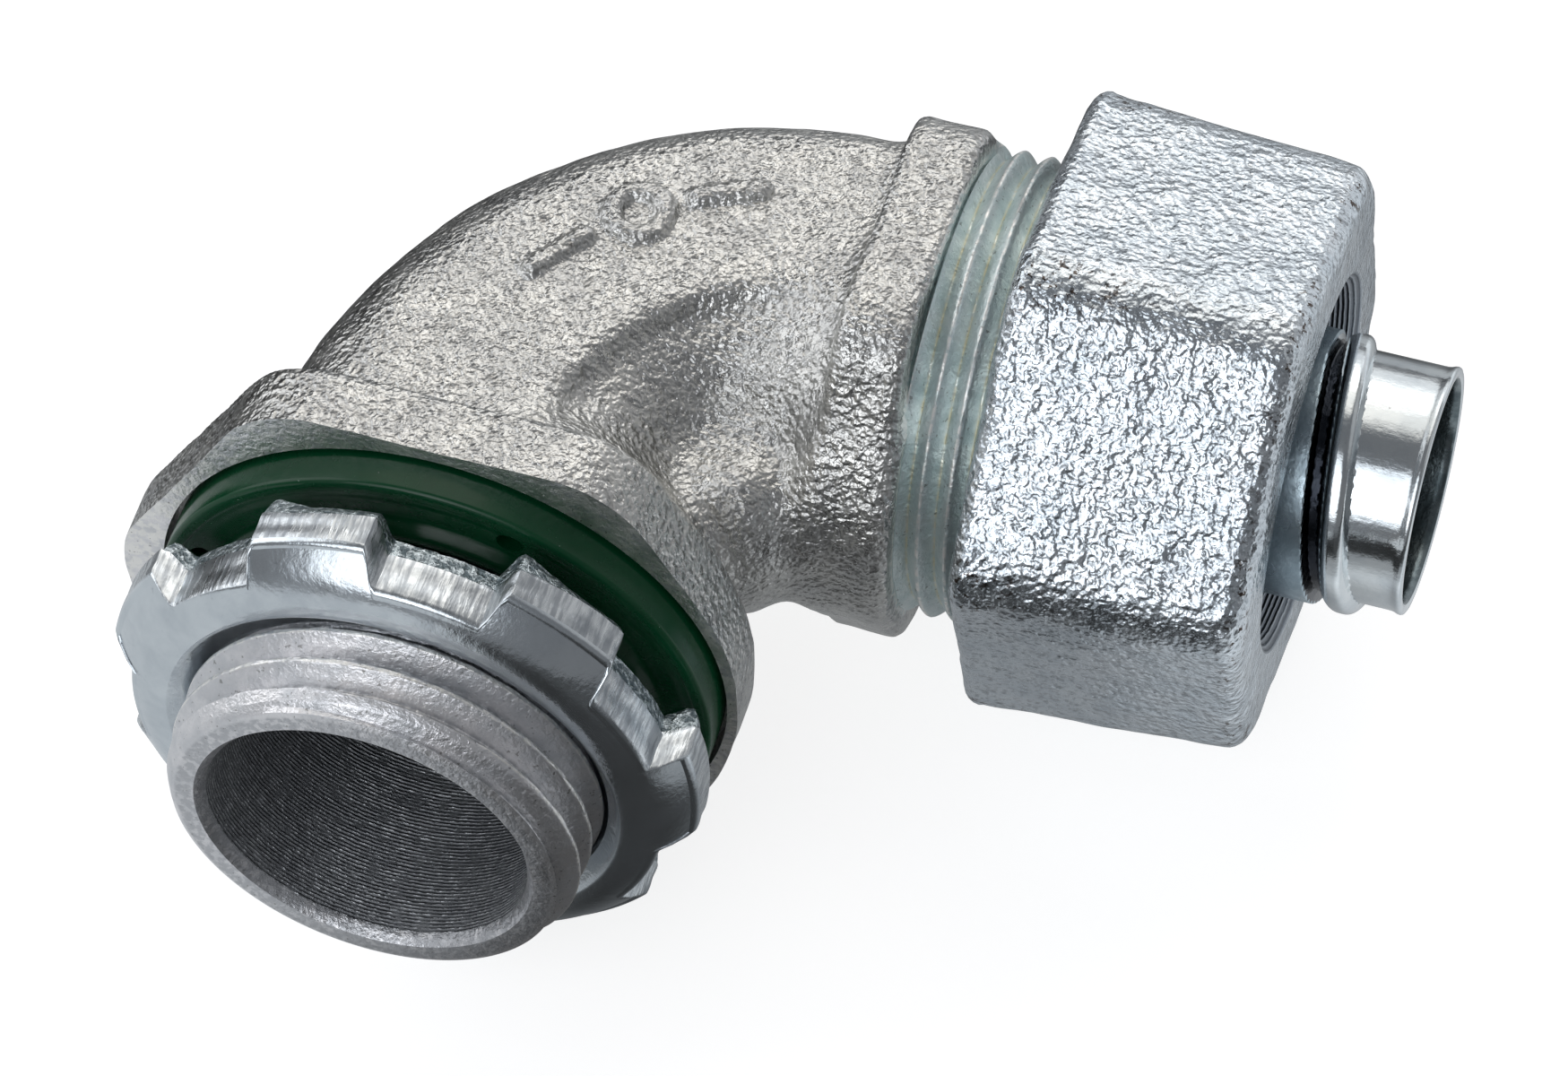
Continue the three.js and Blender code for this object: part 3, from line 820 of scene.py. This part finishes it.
def turned_zinc(name, axis, crest, depth, colors, roughness):
    """A turned and plated thread: fine tool marks round an axis, crests painted bright as highlights, and
    roots painted one colour: painted shade on the hub's thread, a painted highlight on the gland's.
    """
    look = Look(name)
    light, dark, root_shading_color = colors
    along = tuple(4.0 if i == axis else 0.25 for i in range(3))
    marks = look.noise(1.0, 3, 0.6, 0.0, along)
    cloud = look.noise(1.6, 4, 0.6)
    color = look.blend(look.ramp(cloud, 0.3, 0.7), light, dark)
    radius = look.radius_from(axis)
    # painted highlight: bright broken patches from the crest's radius outwards
    crest_highlight = look.times(look.ramp(radius, crest - 0.07, crest - 0.02),
                      look.ramp(look.noise(0.5, 3), 0.40, 0.55, 0.1, 1.0))
    color = look.blend(crest_highlight, color, (0.95, 0.94, 0.91))
    # painted light in the roots: painted shade on the hub, a painted highlight on the gland
    root_shading_mask = look.times(look.ramp(radius, crest - depth * 0.8, crest - depth),
                      look.ramp(look.noise(0.4, 3), 0.4, 0.55, 0.3, 0.9))
    color = look.blend(root_shading_mask, color, root_shading_color)
    specks = look.ramp(look.noise(0.26, 2), 0.66, 0.71, 0, 0.55)
    color = look.blend(specks, color, (0.14, 0.13, 0.11))
    look.bump(marks, 0.02)
    look.bump(look.noise(0.33, 3, 0.6), 0.08)
    return look.finish(color, look.ramp(cloud, 0.3, 0.7, roughness - 0.05, roughness + 0.07))


def bored_iron():
    """The drilled bore: painted dark as shade, with a fine spiral of tool marks painted with bright glints as
    highlights.
    """
    look = Look("bored_iron")
    wave = look.add("ShaderNodeTexWave", {"bands_direction": "Y"}, Vector=look.place, Scale=1.5,
                    Distortion=2.2, Detail=4.0, Detail_Scale=1.4, Detail_Roughness=0.7).outputs["Fac"]
    # painted highlight: bright glints along the spiral tool marks
    glint = look.times(look.ramp(wave, 0.6, 0.95), look.ramp(look.noise(0.42, 4, 0.75), 0.44, 0.64))
    # painted shade: the bore's dark base colours
    color = look.blend(look.noise(2.0, 4), (0.16, 0.165, 0.18), (0.30, 0.31, 0.32))
    color = look.blend(glint, color, (0.80, 0.82, 0.84))
    broken = look.times(wave, look.ramp(look.noise(0.8, 4, 0.7), 0.36, 0.60, 0.1, 1.0))
    look.bump(broken, 0.065)
    look.bump(look.noise(0.3, 4, 0.7), 0.05)
    return look.finish(color, look.ramp(glint, 0, 1, 0.55, 0.3), 0.9)


def pressed_zinc():
    """The locknut's smooth bright faces, faintly clouded, with small scuffs."""
    look = Look("pressed_zinc")
    cloud = look.noise(3.5, 5, 0.6)
    color = look.blend(look.ramp(cloud, 0.32, 0.7), (0.74, 0.79, 0.82), (0.60, 0.65, 0.69))
    scuffs = look.ramp(look.noise(0.55, 5, 0.7, 1.2), 0.62, 0.76, 0, 0.5)
    color = look.blend(scuffs, color, (0.36, 0.38, 0.41))
    look.bump(look.noise(0.9, 4, 0.6), 0.030)
    look.bump(look.noise(0.22, 3, 0.6), 0.010)
    return look.finish(color, look.ramp(cloud, 0.3, 0.7, 0.15, 0.25))


def sheared_zinc():
    """Edges cut by the press: drawn out in fine lines along the nut's axis."""
    look = Look("sheared_zinc")
    tears = look.noise(0.30, 3, 0.6, 0.2, (1.0, 0.12, 1.0))
    patches = look.noise(2.2, 3)
    color = look.blend(look.ramp(tears, 0.36, 0.62), (0.45, 0.48, 0.51), (0.84, 0.88, 0.90))
    color = look.blend(look.ramp(patches, 0.5, 0.68, 0, 0.5), color, (0.25, 0.28, 0.31))
    look.bump(tears, 0.05)
    look.bump(look.noise(1.2, 3, 0.6), 0.05)
    return look.finish(color, look.ramp(tears, 0.3, 0.7, 0.36, 0.22))


def torn_zinc():
    """Where the press tore the plate instead of cutting it: granular, dark between bright grains."""
    look = Look("torn_zinc")
    grain = look.noise(0.38, 3, 0.6)
    color = look.blend(look.ramp(grain, 0.40, 0.60), (0.16, 0.20, 0.22), (0.66, 0.73, 0.76))
    look.bump(grain, 0.22)
    return look.finish(color, look.ramp(grain, 0.35, 0.65, 0.42, 0.26))


def green_rubber():
    """The gasket: dark, glossy and lightly dusted."""
    look = Look("green_rubber")
    cloud = look.noise(4.0, 3)
    color = look.blend(cloud, (0.001, 0.034, 0.012), (0.003, 0.058, 0.021))
    dust = look.ramp(look.noise(0.16, 2), 0.76, 0.80, 0, 0.6)
    color = look.blend(dust, color, (0.42, 0.50, 0.46))
    look.bump(look.noise(0.8, 4), 0.012)
    roughness = look.ramp(look.noise(1.7, 4), 0.3, 0.7, 0.16, 0.30)
    return look.finish(color, roughness, 0.0, Specular_IOR_Level=0.35)


def black_nylon():
    """The compression ring's plain moulding."""
    look = Look("black_nylon")
    color = look.blend(look.noise(1.4, 4), (0.012, 0.013, 0.016), (0.030, 0.032, 0.037))
    look.bump(look.noise(0.5, 4), 0.02)
    return look.finish(color, look.ramp(look.noise(1.0, 3), 0.3, 0.7, 0.34, 0.48), 0.0)


def drawn_zinc():
    """The ferrule: bright drawn tube, faintly streaked along and round, with a few nicks."""
    look = Look("drawn_zinc")
    streaks = look.noise(1.0, 4, 0.6, 0.0, (0.25, 1.6, 1.6))
    cloud = look.noise(2.2, 4)
    color = look.blend(look.ramp(cloud, 0.3, 0.7), (0.82, 0.86, 0.87), (0.66, 0.71, 0.74))
    nicks = look.ramp(look.noise(0.30, 3, 0.7), 0.70, 0.76, 0, 0.6)
    color = look.blend(nicks, color, (0.30, 0.30, 0.30))
    look.bump(streaks, 0.012)
    look.bump(look.noise(0.55, 4, 0.65), 0.014)
    return look.finish(color, look.ramp(cloud, 0.3, 0.7, 0.08, 0.17))


def shadowed_zinc(name, light, dark, roughness):
    """Clouded plate, used in a groove or a bore, where its dark colours are painted shade."""
    look = Look(name)
    cloud = look.noise(1.2, 4)
    look.bump(look.noise(0.5, 4, 0.6), 0.03)
    color = look.blend(look.ramp(cloud, 0.35, 0.65), light, dark)
    return look.finish(color, look.ramp(cloud, 0.3, 0.7, roughness - 0.05, roughness + 0.08))


def grooved_shaded_zinc():
    """The nut's machined mouth and thread, painted dark as shade inside the nut, with coarse tool marks round
    the axis.
    """
    look = Look("grooved_shaded_zinc")
    wave = look.add("ShaderNodeTexWave", {"bands_direction": "X"}, Vector=look.place, Scale=1.25,
                    Distortion=0.8, Detail=3.0, Detail_Scale=1.2).outputs["Fac"]
    # painted shade: dark plate inside the nut, banded by the tool marks
    color = look.blend(wave, (0.16, 0.18, 0.21), (0.42, 0.46, 0.50))
    look.bump(wave, 0.10)
    look.bump(look.noise(0.5, 4, 0.6), 0.04)
    return look.finish(color, 0.36)


# ---------- studio ----------
ROOM_DIM = (0.17, 0.175, 0.185)
# each light: direction, half angle of its even core and of its soft edge in degrees, colour
ROOM_LIGHTS = [
    ((-0.08, 0.86, 0.52), 16, 29, (0.72, 0.73, 0.74)),      # behind
    ((-0.15, 0.60, 0.80), 16, 32, (0.98, 0.94, 0.88)),      # overhead, behind
    ((-0.85, 0.10, 0.46), 16, 33, (1.30, 1.32, 1.35)),      # left
    ((-0.20, -0.78, 0.62), 18, 30, (1.35, 1.40, 1.47)),     # in front
    ((-0.20, -0.85, 0.50), 7, 14, (1.2, 1.2, 1.2)),         # the hot middle of the one in front
    ((0.75, 0.35, 0.55), 10, 35, (0.25, 0.25, 0.25)),       # right, faint
    ((0.42, 0.88, 0.14), 9, 24, (0.55, 0.55, 0.56)),        # behind on the right, near the floor
]


def add_camera():
    """The camera at the photograph's viewing angle: above and a little to the right of the hub's mouth."""
    azimuth, elevation, roll = np.radians([17.6, 53.84, -0.78])
    distance, aim = 0.3905, Vector((0.0005, -0.0022, 0.0155))
    back = Vector((np.sin(azimuth) * np.cos(elevation),
                   -np.cos(azimuth) * np.cos(elevation),
                   np.sin(elevation)))
    level = Vector((np.cos(azimuth), np.sin(azimuth), 0))
    right = Matrix.Rotation(roll, 3, back) @ level
    up = back.cross(right)
    data = bpy.data.cameras.new("camera")
    data.sensor_width = 36
    data.lens = 181.8
    data.clip_start, data.clip_end = 0.01, 20
    camera = bpy.data.objects.new("camera", data)
    turned = Matrix((right, up, back)).transposed().to_4x4()
    camera.matrix_world = Matrix.Translation(aim + back * distance) @ turned
    bpy.context.scene.collection.objects.link(camera)
    bpy.context.scene.camera = camera


def add_room():
    """The room's light by direction: soft lights behind, on the left and in front, hardly any on the right."""
    world = bpy.data.worlds.new("room")
    bpy.context.scene.world = world
    world.use_nodes = True
    tree = world.node_tree
    where = tree.nodes.new("ShaderNodeTexCoord").outputs["Generated"]
    total = None
    for towards, core, edge, color in ROOM_LIGHTS:
        facing = tree.nodes.new("ShaderNodeVectorMath")
        facing.operation = "DOT_PRODUCT"
        tree.links.new(where, facing.inputs[0])
        facing.inputs[1].default_value = Vector(towards).normalized()
        fall = tree.nodes.new("ShaderNodeMapRange")
        fall.interpolation_type = "SMOOTHSTEP"
        fall.inputs["From Min"].default_value = np.cos(np.radians(edge))
        fall.inputs["From Max"].default_value = np.cos(np.radians(core))
        tree.links.new(facing.outputs["Value"], fall.inputs["Value"])
        lit = tree.nodes.new("ShaderNodeVectorMath")
        lit.operation = "MULTIPLY_ADD"
        tree.links.new(fall.outputs["Result"], lit.inputs[0])
        lit.inputs[1].default_value = color
        if total is None:
            lit.inputs[2].default_value = ROOM_DIM
        else:
            tree.links.new(total, lit.inputs[2])
        total = lit.outputs["Vector"]
    tree.links.new(total, tree.nodes["Background"].inputs["Color"])


def reflected_glow(look):
    """How bright each place on the floor is in reflections, by its millimetres from the frame's origin."""
    place = look.add("ShaderNodeSeparateXYZ", Vector=look.place).outputs
    x, y = place["X"], place["Y"]
    # on the left, from the object's middle forwards
    left = look.times(look.times(look.ramp(x, -3, -25), look.ramp(y, 16, -6)), 0.60)
    # from the object's middle back: duller on the left and far behind, brighter on the right
    behind = look.times(look.ramp(y, -24, -6, 0.02, 0.24), look.ramp(x, -38, -14, 0.1, 1.0))
    behind = look.times(behind, look.plus(look.ramp(y, 45, 12, 0.25, 1.25), look.ramp(x, 22, 36, 0, 1.6)))
    glow = look.plus(left, behind)
    # far behind, but not far to the left
    far = look.times(look.ramp(y, 35, 90), look.ramp(x, -95, -40))
    glow = look.plus(glow, look.times(far, 0.4))
    # a patch in front on the right
    front_right = look.times(look.ramp(x, 16, 21), look.ramp(y, 0, -12))
    front_right = look.times(front_right, look.ramp(y, -46, -30))
    return look.plus(glow, look.times(front_right, 0.3))


def add_floor():
    """A plain pale floor, a little self-lit so that it stays near white, and duller in reflections."""
    bpy.ops.mesh.primitive_plane_add(size=6, location=(0, 0, 0))
    floor = bpy.context.object
    floor.name = "floor"
    look = Look("pale_floor")
    tree = look.tree
    pale = look.add("ShaderNodeBsdfDiffuse", Color=(0.5, 0.5, 0.5, 1))
    glow = look.add("ShaderNodeEmission", Color=(1, 1, 1, 1), Strength=0.78)
    both = tree.nodes.new("ShaderNodeAddShader")
    tree.links.new(pale.outputs[0], both.inputs[0])
    tree.links.new(glow.outputs[0], both.inputs[1])
    reflected = look.add("ShaderNodeEmission", Color=(0.92, 0.96, 1, 1), Strength=reflected_glow(look))
    choose = tree.nodes.new("ShaderNodeMixShader")
    tree.links.new(tree.nodes.new("ShaderNodeLightPath").outputs["Is Glossy Ray"], choose.inputs[0])
    tree.links.new(both.outputs[0], choose.inputs[1])
    tree.links.new(reflected.outputs[0], choose.inputs[2])
    tree.links.new(choose.outputs[0], tree.nodes["Material Output"].inputs["Surface"])
    floor.data.materials.append(look.material)


# ---------- the object ----------
def wear(made, *materials):
    """Gives a piece its materials, in the order of its faces' material indices."""
    for material in materials:
        made.data.materials.append(material)


add_camera()

cast_skin = cast_zinc("cast_zinc", (0.68, 0.675, 0.65), (0.55, 0.55, 0.54),
                      speck=0.5, grain=0.36, gloss=0.30, relief=0.56)
nut_skin = cast_zinc("cast_nut_zinc", (0.76, 0.81, 0.85), (0.64, 0.70, 0.75),
                     speck=0.35, grain=0.41, gloss=0.23, relief=0.47, worn_from=15.0)
# light, dark and root colours of the two threads; the root colour is painted shade on the hub and a painted
# highlight on the gland
hub_colors = (0.88, 0.87, 0.88), (0.70, 0.71, 0.73), (0.52, 0.53, 0.55)
gland_colors = (0.74, 0.80, 0.79), (0.58, 0.67, 0.67), (0.80, 0.77, 0.62)
hub_skin = turned_zinc("turned_hub", 1, HUB_CREST, HUB_DEPTH, hub_colors, 0.38)
gland_skin = turned_zinc("turned_gland", 0, GLAND_CREST, GLAND_DEPTH, gland_colors, 0.42)
# painted shade: a near-black plate for the ferrule's groove and a dark plate for its inside
groove_shade_skin = shadowed_zinc("groove_painted_shade", (0.02, 0.023, 0.03), (0.035, 0.04, 0.05), 0.14)
bore_shade_skin = shadowed_zinc("bore_painted_shade", (0.22, 0.26, 0.27), (0.10, 0.13, 0.14), 0.25)
shank_skin = shadowed_zinc("shank_zinc", (0.55, 0.66, 0.72), (0.40, 0.50, 0.56), 0.30)

wear(elbow_body(), cast_skin, hub_skin, gland_skin, bored_iron())
wear(panel_gasket(), green_rubber())
wear(locknut(), pressed_zinc(), sheared_zinc(), torn_zinc())
wear(gland_nut(), nut_skin, grooved_shaded_zinc())
wear(compression_ring(), black_nylon())
wear(ferrule(), drawn_zinc(), groove_shade_skin, bore_shade_skin, shank_skin)

add_room()
add_floor()

view = bpy.context.scene.view_settings
view.view_transform = "Standard"
